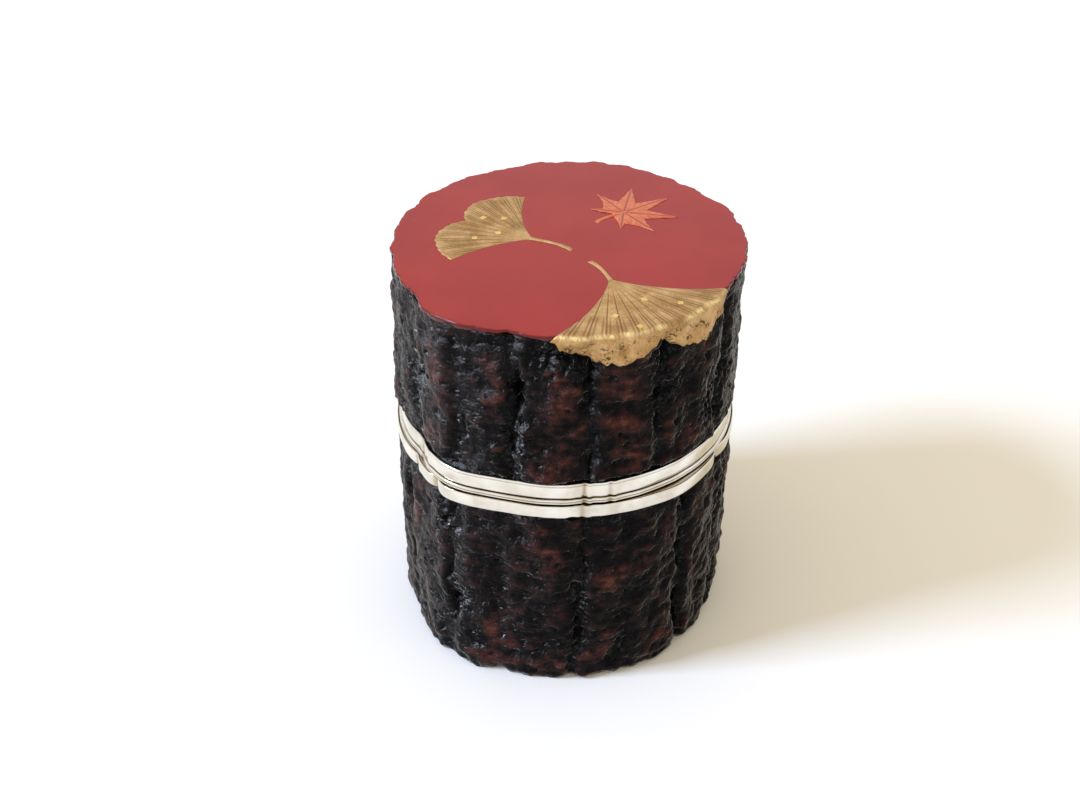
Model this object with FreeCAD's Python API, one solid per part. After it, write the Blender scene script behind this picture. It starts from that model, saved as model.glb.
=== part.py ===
import FreeCAD
import Part
import math
import os

from FreeCAD import Vector

# Tea caddy cut from a bark-covered log, with silver rims where its lid meets its body and a red lacquered top.
# Millimetres, +Z up. The origin is the middle of the base, and the photographed front faces -Y.

# Heights
body_height = 45.2
lid_height = 34.8
collar_stand = 12.5
foot_bevel = 1.2

# The log: mean radius over the bark, and how its outline departs from a circle
log_radius = 32.7
log_ovality = 0.45
log_oval_direction = 50.0
log_bulge = 1.3
log_bulge_direction = 231.0
log_bulge_width = 7.0
bark_swell = 0.3
mouth_draw_in = 0.9
outline_points = 144
bark_level_step = 5.0

# Plates of the bark: how far they stand out, how many go round the log, their pitch up it, and how they lean and sway
plate_relief = 0.45
plates_around = 25
plate_pitch = 15.0
plate_lean = 4
plate_sway = 1.3
plate_sway_pitch = 24.0
outline_edges = 12

# Furrows down the bark: direction at the base, lean towards the top, depth as a share of the bark, half width
# Directions are in degrees, counted from +X towards +Y; half widths are in millimetres
# They wander sideways by some degrees, and close up towards the sawn top
furrow_wander = 1.5
furrow_wander_pitch = 22.0
furrow_top_share = 0.3
furrow_fade_height = 6.0
log_furrows = [
    (274.0, 3.0, 0.38, 1.1),
    (230.0, 6.0, 0.32, 1.3),
    (20.0, -4.0, 0.32, 1.4),
    (84.0, 2.0, 0.44, 1.4),
    (135.0, 3.0, 0.32, 1.4),
    (182.0, -3.0, 0.30, 1.3),
]
body_furrows = [
    (315.0, 0.0, 0.48, 1.3),
    (205.0, 0.0, 0.26, 1.2),
    (338.0, 4.0, 0.30, 1.4),
    (247.0, 5.0, 0.16, 1.1),
    (292.0, -8.0, 0.16, 1.1),
    (52.0, 6.0, 0.27, 1.3),
    (108.0, -4.0, 0.27, 1.3),
    (160.0, 3.0, 0.24, 1.2),
]
lid_furrows = [
    (253.0, 0.0, 0.32, 1.1),
    (213.0, 0.0, 0.26, 1.2),
    (300.0, 0.0, 0.32, 1.2),
    (327.0, 4.0, 0.36, 1.5),
    (237.0, 3.0, 0.16, 1.1),
    (47.0, 0.0, 0.27, 1.2),
    (112.0, 3.0, 0.27, 1.3),
    (158.0, -3.0, 0.24, 1.2),
]

# Walls, from the bark inwards
bark_thickness = 3.7
wood_wall = 2.35
collar_wall = 1.5
collar_lip = 0.5
board_ledge = 1.0
bottom_board_thickness = 3.5
top_board_thickness = 3.0
lacquer_cap = 0.8
lacquer_cap_margin = 0.3
lacquer_cap_round = 0.35

# Fits
glue_line = 0.05
lid_clearance = 0.10
mouth_relief = 0.15
rim_to_bark_gap = 0.10

# Silver rims: a band round the bark and a ring across the mouth
lid_rim_inset = 0.4
body_rim_overhang = 0.35
rim_bulge_extra = 0.5
band_thickness = 0.6
lid_band_height = 3.2
body_band_height = 2.9
lip_height = 0.5
lip_proud = 0.15
ring_thickness = 0.6
bead_height = 1.0
bead_margin = 0.55
bead_round = 0.5
lid_band_set_back = 0.2
rounding_steps = 3

# Dents where a rim follows a furrow: direction, depth, half width
lid_rim_dents = [
    (276.0, 0.9, 1.5),
    (213.0, 0.5, 2.0),
    (84.0, 0.9, 1.6),
    (140.0, 0.5, 2.0),
    (18.0, 0.5, 1.8),
]
body_rim_dents = [
    (275.5, 1.2, 1.4),
    (226.0, 1.5, 1.3),
    (213.0, 1.0, 1.3),
    (333.0, 0.6, 2.0),
    (84.0, 1.2, 1.5),
    (138.0, 0.8, 1.8),
    (18.0, 0.8, 1.6),
]

# Raised leaves on the lid: the stem point's distance in from the mean edge and its bearing from the middle,
# the direction of the fan, its length from stem point to margin, and the stem's own length
relief_thickness = 0.25
leaf_stem_width = 0.9
leaf_spread = 56.0
leaf_side_share = 0.82
leaf_corner_share = 0.93
leaf_notch_share = 0.8
front_leaf = {"from_edge": 17.5, "bearing": 297.4, "direction": 298.0, "length": 21.0, "stem": 7.0}
left_leaf = {"from_edge": 26.2, "bearing": 175.6, "direction": 152.0, "length": 18.0, "stem": 8.0}
maple_leaf = {"from_edge": 17.5, "bearing": 46.3, "direction": 35.0}
maple_reach = 11.0
maple_waist = 4.6
maple_lobes = 7
maple_lobe_step = 44.0
maple_shortening = 0.045
maple_shoulder_share = 0.66
maple_shoulder_turn = 8.0
foil_side = 1.0
foil_thickness = 0.12
# Places of the foil squares on a leaf: share of its length, share of its spread
foil_places = [(0.38, 0.2), (0.52, -0.45), (0.6, 0.5), (0.68, -0.2)]

# Worked out from the sizes above
total_height = body_height + lid_height
joint_height = body_height
bark_bore_radius = log_radius - bark_thickness
wood_radius = bark_bore_radius - glue_line
lid_bore_radius = wood_radius - wood_wall
lid_rim_radius = log_radius - lid_rim_inset
body_rim_radius = log_radius + body_rim_overhang
collar_radius = lid_bore_radius - lid_clearance
collar_bore_radius = collar_radius - collar_wall
body_bore_radius = collar_radius + glue_line
lid_mouth_radius = lid_bore_radius + mouth_relief
bottom_recess_radius = body_bore_radius + board_ledge
top_recess_radius = lid_bore_radius + board_ledge
collar_top = joint_height + collar_stand
cap_underside = total_height - lacquer_cap
board_underside = cap_underside - top_board_thickness
body_ring_top = joint_height - bead_height
body_ring_underside = body_ring_top - ring_thickness
body_band_bottom = body_ring_top - body_band_height
body_bark_top = body_band_bottom - rim_to_bark_gap
lid_ring_top = joint_height + ring_thickness
lid_band_bottom = joint_height + lid_band_set_back
lid_band_top = lid_band_bottom + lid_band_height
lid_bark_bottom = lid_band_top + rim_to_bark_gap


# Outlines: radius against direction in radians

def dip(angle, direction, depth, half_width):
    """A smooth dip, depth deep, centred on a direction in degrees."""
    away = (angle - math.radians(direction) + math.pi) % (2 * math.pi) - math.pi
    return depth * math.exp(-((away * log_radius / half_width) ** 2))


def log_shape(angle, bulge):
    """How far the log stands out beyond a circle in this direction."""
    oval = log_ovality * math.cos(2 * (angle - math.radians(log_oval_direction)))
    return oval + dip(angle, log_bulge_direction, bulge, log_bulge_width)


def plate_height(angle, height):
    """How far the bark's plates stand out in this direction at this height."""
    climb = 2 * math.pi * height / plate_pitch
    sway = plate_sway * math.sin(2 * math.pi * height / plate_sway_pitch)
    return plate_relief * math.sin(plates_around * angle + sway) * math.sin(climb + plate_lean * angle)


def furrow_opening(height):
    """The share of a furrow's depth that is left at this height, less towards the sawn top."""
    below = min(1, (total_height - height) / furrow_fade_height)
    return furrow_top_share + (1 - furrow_top_share) * below


def bark_radius(angle, height, furrows):
    level = height / total_height
    radius = log_radius + log_shape(angle, log_bulge)
    radius += bark_swell * math.sin(5 * angle + 7 * level)
    radius += plate_height(angle, height) * furrow_opening(height)
    for direction, lean, depth, half_width in furrows:
        wander = furrow_wander * math.sin(2 * math.pi * height / furrow_wander_pitch + direction)
        deep = depth * bark_thickness * furrow_opening(height)
        radius -= dip(angle, direction + lean * level + wander, deep, half_width)
    return radius


def body_bark_radius(angle, height):
    return bark_radius(angle, height, log_furrows + body_furrows)


def lid_bark_radius(angle, height):
    return bark_radius(angle, height, log_furrows + lid_furrows)


def rim_radius(angle, radius, dents):
    radius += log_shape(angle, log_bulge + rim_bulge_extra)
    for direction, depth, half_width in dents:
        radius -= dip(angle, direction, depth, half_width)
    return radius


def lid_band_radius(angle):
    return rim_radius(angle, lid_rim_radius, lid_rim_dents)


def body_band_radius(angle):
    return rim_radius(angle, body_rim_radius, body_rim_dents)


def inside(outline, distance):
    """The same outline, drawn in by a distance."""
    return lambda angle: outline(angle) - distance


# Solids

def outline_wire(outline, height):
    points = []
    for step in range(outline_points):
        angle = 2 * math.pi * step / outline_points
        radius = outline(angle)
        points.append(Vector(radius * math.cos(angle), radius * math.sin(angle), height))
    curve = Part.BSplineCurve()
    curve.interpolate(Points=points, PeriodicFlag=True, Parameters=list(range(outline_points + 1)))
    stretch = outline_points / outline_edges
    return Part.Wire([curve.toShape(stretch * edge, stretch * (edge + 1)) for edge in range(outline_edges)])


def column(outline, bottom, top):
    """A solid of one outline from bottom to top."""
    face = Part.Face(outline_wire(outline, bottom))
    return face.extrude(Vector(0, 0, top - bottom))


def rounded_column(outline, bottom, top, rounding):
    """A column whose upper edge is rounded over, by no more than most of its height."""
    rounding = min(rounding, 0.9 * (top - bottom))
    wires = [outline_wire(outline, bottom)]
    for step in range(rounding_steps + 1):
        turn = math.pi / 2 * step / rounding_steps
        inset = rounding * (1 - math.cos(turn))
        wires.append(outline_wire(inside(outline, inset), top - rounding + rounding * math.sin(turn)))
    return Part.makeLoft(wires, True, True)


def rod(radius, bottom, top):
    return Part.makeCylinder(radius, top - bottom, Vector(0, 0, bottom))


def tube(outer, inner, bottom, top):
    return rod(outer, bottom, top).cut(rod(inner, bottom, top))


def bark_levels(bottom, top):
    """Even heights from bottom to top, about a level step apart."""
    count = max(2, round((top - bottom) / bark_level_step))
    return [bottom + (top - bottom) * level / count for level in range(count + 1)]


def bark_wire(bark, height, inset):
    """The bark's outline at a height, drawn in by a distance."""
    return outline_wire(lambda angle: bark(angle, height) - inset, height)


def edges_at(shape, height):
    """The edges of a shape that lie flat at one height."""
    found = []
    for edge in shape.Edges:
        box = edge.BoundBox
        if abs(box.ZMin - height) < 1e-4 and abs(box.ZMax - height) < 1e-4:
            found.append(edge)
    return found


# Body

def make_body_bark():
    seat = inside(body_band_radius, band_thickness + glue_line)
    wires = [bark_wire(body_bark_radius, 0, foot_bevel / 2)]
    for height in bark_levels(foot_bevel, body_bark_top):
        wires.append(bark_wire(body_bark_radius, height, 0))
    wires.append(outline_wire(seat, body_band_bottom))
    wires.append(outline_wire(seat, body_ring_underside))
    return Part.makeLoft(wires, True, True).cut(rod(bark_bore_radius, 0, body_ring_underside))


def make_body_wood_sleeve():
    sleeve = tube(wood_radius, body_bore_radius, 0, body_ring_underside)
    return sleeve.cut(rod(bottom_recess_radius, 0, bottom_board_thickness))


def make_bottom_board():
    return rod(bottom_recess_radius - glue_line, 0, bottom_board_thickness)


def make_inner_collar():
    collar = tube(collar_radius, collar_bore_radius, bottom_board_thickness, collar_top)
    return collar.makeFillet(min(collar_lip, 0.45 * collar_wall), edges_at(collar, collar_top))


def make_body_rim_band():
    band = column(body_band_radius, body_band_bottom, body_ring_top)
    bore = column(inside(body_band_radius, band_thickness), body_band_bottom, body_ring_top)
    return band.cut(bore)


def make_body_mouth_ring():
    plate = column(inside(body_band_radius, band_thickness + glue_line), body_ring_underside, body_ring_top)
    bead = rounded_column(inside(lid_band_radius, -bead_margin), body_ring_top, joint_height, bead_round)
    return plate.fuse(bead).cut(rod(collar_radius + glue_line, body_ring_underside, joint_height))


# Lid

def make_lid_mouth_ring():
    plate = column(inside(lid_band_radius, band_thickness + glue_line), joint_height, lid_ring_top)
    return plate.cut(rod(lid_mouth_radius, joint_height, lid_ring_top))


def make_lid_rim_band():
    band = column(lid_band_radius, lid_band_bottom, lid_band_top)
    lip = column(inside(lid_band_radius, -lip_proud), lid_band_top - lip_height, lid_band_top)
    bore = column(inside(lid_band_radius, band_thickness), lid_band_bottom, lid_band_top)
    return band.fuse(lip).cut(bore)


def make_lid_wood_sleeve():
    sleeve = tube(wood_radius, lid_bore_radius, lid_ring_top, cap_underside)
    return sleeve.cut(rod(top_recess_radius, board_underside, cap_underside))


def make_lid_bark():
    seat = inside(lid_band_radius, band_thickness + glue_line)
    wires = [outline_wire(seat, lid_ring_top), outline_wire(seat, lid_band_top)]
    wires.append(bark_wire(lid_bark_radius, lid_bark_bottom, mouth_draw_in))
    for height in bark_levels(lid_bark_bottom, cap_underside)[1:]:
        wires.append(bark_wire(lid_bark_radius, height, 0))
    return Part.makeLoft(wires, True, True).cut(rod(bark_bore_radius, lid_ring_top, cap_underside))


def top_outline(angle):
    return lid_bark_radius(angle, cap_underside) - lacquer_cap_margin


def make_lid_top_board():
    cap = rounded_column(top_outline, cap_underside, total_height, lacquer_cap_round)
    return cap.fuse(rod(top_recess_radius - glue_line, board_underside, cap_underside))


# Raised decoration

def leaf_point(leaf, distance, turn):
    """A point of a leaf, by its distance from the stem point and its turn from the leaf's direction."""
    place = log_radius - leaf["from_edge"]
    bearing = math.radians(leaf["bearing"])
    angle = math.radians(leaf["direction"] + turn)
    x = place * math.cos(bearing) + distance * math.cos(angle)
    y = place * math.sin(bearing) + distance * math.sin(angle)
    return Vector(x, y, total_height)


def on_the_flat(shape):
    """What of a raised shape lies on the flat of the top, inside its rounded edge."""
    flat = column(inside(top_outline, lacquer_cap_round), total_height, total_height + relief_thickness)
    return shape.common(flat)


def make_fan_leaf(leaf):
    """A fan-shaped leaf of two lobes, with its stem."""
    length = leaf["length"]
    start = leaf_point(leaf, 0, 0)
    right = leaf_point(leaf, leaf_corner_share * length, -leaf_spread)
    left = leaf_point(leaf, leaf_corner_share * length, leaf_spread)
    notch = leaf_point(leaf, leaf_notch_share * length, 0)
    fan = Part.Wire([
        Part.Arc(start, leaf_point(leaf, length / 2, -leaf_side_share * leaf_spread), right).toShape(),
        Part.Arc(right, leaf_point(leaf, length, -leaf_spread / 2), notch).toShape(),
        Part.Arc(notch, leaf_point(leaf, length, leaf_spread / 2), left).toShape(),
        Part.Arc(left, leaf_point(leaf, length / 2, leaf_side_share * leaf_spread), start).toShape(),
    ])
    blade = Part.Face(fan).extrude(Vector(0, 0, relief_thickness))
    half = leaf_stem_width / 2
    stem = Part.makeBox(leaf["stem"], leaf_stem_width, relief_thickness, Vector(-leaf["stem"], -half, 0))
    stem = stem.fuse(Part.makeCylinder(half, relief_thickness))
    stem.rotate(Vector(0, 0, 0), Vector(0, 0, 1), leaf["direction"])
    stem.translate(start)
    return on_the_flat(blade.fuse(stem).removeSplitter())


def make_maple_leaf():
    """A leaf of pointed lobes that shorten towards the stem."""
    corners = []
    for lobe in range(maple_lobes):
        place = lobe - (maple_lobes - 1) / 2
        turn = place * maple_lobe_step
        reach = maple_reach * (1 - maple_shortening * place ** 2)
        corners.append(leaf_point(maple_leaf, maple_shoulder_share * reach, turn - maple_shoulder_turn))
        corners.append(leaf_point(maple_leaf, reach, turn))
        corners.append(leaf_point(maple_leaf, maple_shoulder_share * reach, turn + maple_shoulder_turn))
        corners.append(leaf_point(maple_leaf, maple_waist, turn + maple_lobe_step / 2))
    corners.append(corners[0])
    return on_the_flat(Part.Face(Part.makePolygon(corners)).extrude(Vector(0, 0, relief_thickness)))


def make_foil_squares():
    """Small squares of cut gold foil on the fan leaves."""
    squares = []
    for leaf in (front_leaf, left_leaf):
        for along, across in foil_places:
            turn = across * leaf_spread
            corner = Vector(-foil_side / 2, -foil_side / 2, 0)
            square = Part.makeBox(foil_side, foil_side, foil_thickness, corner)
            square.rotate(Vector(0, 0, 0), Vector(0, 0, 1), leaf["direction"] + 3 * turn)
            square.translate(leaf_point(leaf, along * leaf["length"], turn) + Vector(0, 0, relief_thickness))
            squares.append(square)
    return Part.makeCompound(squares)


pieces = {
    "body_bark": make_body_bark(),
    "body_wood_sleeve": make_body_wood_sleeve(),
    "bottom_board": make_bottom_board(),
    "inner_collar": make_inner_collar(),
    "body_rim_band": make_body_rim_band(),
    "body_mouth_ring": make_body_mouth_ring(),
    "lid_mouth_ring": make_lid_mouth_ring(),
    "lid_rim_band": make_lid_rim_band(),
    "lid_wood_sleeve": make_lid_wood_sleeve(),
    "lid_bark": make_lid_bark(),
    "lid_top_board": make_lid_top_board(),
    "gold_leaf_front": make_fan_leaf(front_leaf),
    "gold_leaf_left": make_fan_leaf(left_leaf),
    "orange_leaf": make_maple_leaf(),
    "gold_foil_squares": make_foil_squares(),
}

os.makedirs("parts", exist_ok=True)
for name, shape in pieces.items():
    shape.exportStep(os.path.join("parts", name + ".step"))
    print(name, "solids", len(shape.Solids), "valid", shape.isValid(), "volume", round(shape.Volume, 2))
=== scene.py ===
import math

import bpy
from mathutils import Euler, Matrix, Quaternion, Vector, noise


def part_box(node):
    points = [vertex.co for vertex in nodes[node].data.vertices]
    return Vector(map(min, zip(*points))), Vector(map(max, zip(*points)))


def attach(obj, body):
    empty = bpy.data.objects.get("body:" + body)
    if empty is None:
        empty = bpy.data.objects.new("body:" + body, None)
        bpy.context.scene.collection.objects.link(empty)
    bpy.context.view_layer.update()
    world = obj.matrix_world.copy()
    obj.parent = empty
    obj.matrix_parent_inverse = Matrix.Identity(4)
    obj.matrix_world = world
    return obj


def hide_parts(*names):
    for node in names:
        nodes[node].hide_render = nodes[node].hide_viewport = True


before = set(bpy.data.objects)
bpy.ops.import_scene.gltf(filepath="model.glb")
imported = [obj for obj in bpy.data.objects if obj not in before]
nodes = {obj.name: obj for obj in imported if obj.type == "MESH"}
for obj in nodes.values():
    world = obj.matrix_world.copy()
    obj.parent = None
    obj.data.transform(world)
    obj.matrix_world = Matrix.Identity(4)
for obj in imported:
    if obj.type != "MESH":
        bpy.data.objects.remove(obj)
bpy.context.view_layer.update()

mm = 0.001
fullTurn = 2 * math.pi
coarse = 1

# Sizes in mm that several pieces share
logRadius = 32.7   # mean radius of the log
seatGap = 0.1   # between the bark and the silver
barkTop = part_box("lid_bark")[1].z / mm
topHeight = barkTop + 0.8   # the flat of the lacquered top
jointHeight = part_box("body_mouth_ring")[1].z / mm   # where the lid stands
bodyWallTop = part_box("body_rim_band")[0].z / mm - seatGap
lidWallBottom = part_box("lid_rim_band")[1].z / mm + seatGap
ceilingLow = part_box("lid_top_board")[0].z / mm
collarLow, collarHigh = (corner.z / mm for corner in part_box("inner_collar"))
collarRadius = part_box("inner_collar")[1].x / mm


# Small helpers

def clearSelection():
    if bpy.context.object and bpy.context.object.mode != "OBJECT":
        bpy.ops.object.mode_set(mode="OBJECT")
    bpy.ops.object.select_all(action="DESELECT")


def pickOnly(piece):
    clearSelection()
    bpy.context.view_layer.objects.active = piece
    piece.select_set(True)


def applyModifier(piece, name, kind, settings):
    pickOnly(piece)
    modifier = piece.modifiers.new(name, kind)
    for setting, value in settings.items():
        setattr(modifier, setting, value)
    bpy.ops.object.modifier_apply(modifier=name)


def linearColour(hexCode):
    parts = [int(hexCode[i:i + 2], 16) / 255 for i in (1, 3, 5)]
    return tuple(c / 12.92 if c <= 0.04045 else ((c + 0.055) / 1.055) ** 2.4 for c in parts) + (1.0,)


def mainOutput(source):   # a node stands for its main output, a socket for itself
    if isinstance(source, bpy.types.NodeSocket):
        return source
    named = [name for name in ("Fac", "Result") if name in source.outputs]
    return source.outputs[named[0] if named else 0]


def addNode(tree, kind, settings=None, links=None):
    node = tree.nodes.new("ShaderNode" + kind)
    for name, value in (settings or {}).items():
        if name == "stops":   # colour ramp: place and hex colour of each stop
            ramp = node.color_ramp
            while len(ramp.elements) < len(value):
                ramp.elements.new(0.5)
            for element, (place, hexCode) in zip(ramp.elements, value):
                element.position = place
                element.color = linearColour(hexCode)
        elif name == "range":   # map range: from low and high, to low and high
            for socket, limit in zip(("From Min", "From Max", "To Min", "To Max"), value):
                node.inputs[socket].default_value = limit
        elif name == "size":   # of a pattern, in mm
            node.inputs["Scale"].default_value = 1 / (value * mm)
        elif isinstance(name, int) or name in node.inputs:
            node.inputs[name].default_value = linearColour(value) if isinstance(value, str) else value
        else:
            setattr(node, name, value)
    for name, source in (links or {}).items():
        tree.links.new(mainOutput(source), node.inputs[name])
    return node


def newMaterial(name):   # with its node tree and the place on the piece that patterns read
    material = bpy.data.materials.new(name)
    material.use_nodes = True
    tree = material.node_tree
    tree.nodes.clear()
    return material, tree, addNode(tree, "TexCoord").outputs["Object"]


# Ends a material: even values go on the shader's own sockets, patterns are linked
def finishMaterial(material, settings, links):
    shader = addNode(material.node_tree, "BsdfPrincipled", settings, links)
    addNode(material.node_tree, "OutputMaterial", links={"Surface": shader})
    return material


def dress(piece, material):
    piece.data.materials.clear()
    piece.data.materials.append(material)


# Gives a piece its material and the body it moves with, and hides the CAD node it stands for
def fitPiece(piece, material, body, node=None):
    dress(piece, material)
    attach(piece, body)
    if node:
        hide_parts(node)


# A flat grid is added, then each point goes to its place by its share across and its row,
# and takes the marks that its material reads
def addGrid(name, columns, rows, placePoint, marks=()):
    clearSelection()
    bpy.ops.mesh.primitive_grid_add(x_subdivisions=columns, y_subdivisions=rows, size=2)
    piece = bpy.context.object
    piece.name = name
    piece.data.name = name
    values = {mark: [] for mark in marks}
    for point in piece.data.vertices:
        point.co, pointMarks = placePoint((point.co.x + 1) / 2, round((point.co.y + 1) / 2 * rows))
        for mark, value in zip(marks, pointMarks):
            values[mark].append(value)
    for mark in marks:
        piece.data.attributes.new(mark, "FLOAT", "POINT").data.foreach_set("value", values[mark])
    bpy.ops.object.mode_set(mode="EDIT")
    bpy.ops.mesh.select_all(action="SELECT")
    bpy.ops.mesh.remove_doubles(threshold=0.002 * mm)   # closes the seam and the poles
    bpy.ops.mesh.normals_make_consistent(inside=False)
    bpy.ops.object.mode_set(mode="OBJECT")
    bpy.ops.object.shade_smooth()
    return piece


def onCircle(angle, radius, height):   # mm in, metres out
    return Vector((radius * math.cos(angle), radius * math.sin(angle), height)) * mm


def angleGap(angle, degrees):   # signed turn from a direction given in degrees
    return (angle - math.radians(degrees) + math.pi) % fullTurn - math.pi


def hump(distance, width):
    return math.exp(-(distance / width) ** 2)


def between(low, high, value):   # 0 at low, 1 at high, eased
    share = min(1, max(0, (value - low) / (high - low)))
    return share * share * (3 - 2 * share)


def aroundNoise(angle, scale, seed):   # noise that closes on itself round the log
    return noise.noise(Vector((scale * math.cos(angle), scale * math.sin(angle), seed)))


# How far out a CAD node reaches in a direction, found by a ray from outside
def cadRadius(node, angle, height):
    start = onCircle(angle, 2 * logRadius, height)
    inward = Vector((-math.cos(angle), -math.sin(angle), 0))
    hit, place = nodes[node].ray_cast(start, inward)[:2]
    return math.hypot(place.x, place.y) / mm if hit else logRadius


# The outline of a CAD node at one height, evened out over some half degrees
def cadOutline(node, height, spread):
    count = 720
    raw = [cadRadius(node, fullTurn * i / count, height) for i in range(count)]
    weights = [(k, hump(k, spread)) for k in range(-3 * spread, 3 * spread + 1)]
    total = sum(weight for k, weight in weights)
    even = [sum(raw[(i + k) % count] * weight for k, weight in weights) / total for i in range(count)]

    def outline(angle):
        place = angle / fullTurn * count
        low = math.floor(place)
        share = place - low
        return even[low % count] * (1 - share) + even[(low + 1) % count] * share
    return outline


# Bark

barkShape = {
    "columns": 640,
    "bodyRows": 118,
    "lidRows": 84,
    "boreRadius": 29.0,   # mm, where the bark meets the wood
    "leastWall": 0.6,   # mm
    "bodyLevels": 10,   # heights at which the log's own outline is read
    "lidLevels": 8,
    "levelMargin": 0.02,   # share of the wall's height left out at its ends
    "evenOut": 14,   # half degrees, smoothing that leaves the furrows out
    "noFurrow": 0.15,   # mm, unevenness that is no furrow yet
    "broad": 0.55,   # mm, slow swelling of the plates
    "lumps": 0.30,   # mm, lumps a few mm across, longer round the trunk
    "crags": 0.20,   # mm, small broken lumps between them
    "streaks": 0.045,   # mm, ridges that run round the trunk
    "grain": 0.10,   # mm, the finest that the mesh carries
    "hollowGrain": 0.18,   # mm, more of it in hollows
    "hollowCrumbs": 0.30,   # mm, broken edges of hollows
    "filling": 0.60,   # share of a furrow that lacquer and flakes close in places
    "pits": 0.55,   # mm, small holes
    "sweep": 1.6,   # mm, rise and fall of what runs round the trunk
    "wander": 2.0,   # mm, cracks to either side of their direction
    "tremble": 0.5,   # mm, the same in small
    "crackTaper": 4.0,   # mm, over which a crack's ends run out
    "lidSwell": (0.7, 4.0),   # mm out and up: full almost down to the silver
    "lidRollIn": (0.9, 1.0),   # mm in and up: the lid's lower end draws in
    "footRound": (0.7, 1.8),   # mm in and up: worn edge of the foot
    "topSawn": (0.6, 2.5),   # share of the relief and mm down: the top is sawn flat and filled
    "endStep": 1.0,   # mm, from the wall in to the edge of its upper end
    "seatEvenOut": 4,   # half degrees, smoothing of the seats under the silver
    "leastSeat": 0.2,   # mm
}
# Noise of the relief: how many cells to a mm, round the trunk and along it
barkScales = {
    "broad": (0.13, 0.10),
    "lumps": (0.24, 0.36),
    "smallLumps": (0.50, 0.70),
    "crags": (0.62, 0.55),
    "crumbs": (0.90, 0.90),
    "streaks": (0.20, 0.75),
    "grain": (1.30, 1.50),
    "filling": (0.16, 0.14),
    "pits": (0.52, 0.45),
    "wander": (0.09, 0.13),
    "tremble": (0.50, 0.50),
}
# Larger holes: direction, height in mm, radius in mm, depth in mm
barkHoles = [
    (323, 59, 2.0, 1.1), (331, 63, 1.8, 1.2), (329, 54, 1.6, 1.1), (338, 33, 1.9, 1.2),
    (229, 35, 1.0, 1.3), (262, 76.5, 2.1, 0.8), (273, 75.5, 2.2, 0.9), (300, 75, 1.5, 1.0),
    (302, 66, 1.5, 1.0), (218, 64, 1.5, 0.9), (254, 69, 1.4, 1.0), (254, 58, 1.3, 0.9),
    (275, 12, 1.3, 0.7), (232, 16, 1.4, 0.9), (61, 60, 2.0, 1.1), (120, 30, 2.0, 1.1),
    (170, 62, 1.9, 1.0), (28, 22, 1.8, 1.0), (96, 66, 1.6, 1.0), (147, 20, 1.8, 1.0),
]
# Narrow cracks: direction, lowest and highest mm, half width in mm, depth in mm
barkCracks = [
    (277, 46, 79, 0.40, 1.0), (253.5, 49, 76, 0.40, 0.8), (300, 56, 80, 0.35, 0.8), (213, 55, 76, 0.40, 0.8),
    (237, 52, 66, 0.30, 0.6), (322, 50, 70, 0.40, 0.9), (315, 3, 42, 0.45, 1.1), (231, 6, 42, 0.40, 0.9),
    (276, 20, 42, 0.30, 0.7), (205, 4, 40, 0.40, 0.8), (338, 6, 40, 0.40, 0.9), (292, 2, 20, 0.30, 0.6),
    (20, 2, 78, 0.45, 1.0), (47, 50, 79, 0.35, 0.8), (52, 3, 40, 0.40, 0.9), (84, 2, 79, 0.45, 1.0),
    (110, 4, 76, 0.35, 0.8), (135, 2, 79, 0.45, 1.0), (159, 5, 75, 0.35, 0.8), (182, 2, 79, 0.45, 1.0),
]
# Reddish plates: direction, height in mm, half width in degrees, half height in mm
redPlates = [
    (267, 67, 6, 9), (288, 66, 7, 10), (265, 53, 7, 4), (287, 52, 6, 4), (248, 64, 3, 8), (228, 66, 4, 9),
    (222, 52, 6, 4), (312, 52, 7, 5), (250, 20, 4, 8), (247, 6, 4, 7), (283, 26, 7, 5), (283, 8, 6, 4),
    (305, 8, 5, 4), (262, 33, 8, 5), (207, 7, 6, 6), (308, 33, 6, 4), (268, 3, 9, 3), (212, 32, 6, 6),
    (40, 62, 9, 9), (70, 20, 8, 9), (110, 56, 9, 9), (128, 12, 8, 8), (165, 30, 9, 9), (190, 60, 8, 9),
    (8, 30, 8, 9),
]
barkMarks = ("hollow", "bumpy", "redness")
plainMarks = (0.0, -4.0, 0.0)   # ends and bore stay black


# A point of the log in the space of one of the noises, moved off the others
def noisePoint(scale, x, y, height, moveX=0, moveY=0):
    around, along = barkScales[scale]
    return Vector((x * around + moveX, y * around + moveY, height * along))


def holesAt(angle, height, crumbs):
    total = 0
    for direction, middle, radius, depth in barkHoles:
        across = angleGap(angle, direction) * logRadius
        up = height - middle
        if abs(across) < 3 * radius and abs(up) < 3 * radius:
            total += depth * hump(math.hypot(across, 0.7 * up) * (1 + 0.7 * crumbs), radius)
    return total


def cracksAt(angle, height, wander):
    total, taper = 0, barkShape["crackTaper"]
    for direction, lowest, highest, width, depth in barkCracks:
        across = angleGap(angle, direction) * logRadius + wander
        if abs(across) < 4 * width and lowest < height < highest:
            broken = between(-0.25, 0.2, noise.noise(Vector((direction, 0, height * 0.2))))
            ends = between(lowest, lowest + taper, height) * (1 - between(highest - taper, highest, height))
            total += depth * broken * ends * hump(across, width)
    return total


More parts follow.
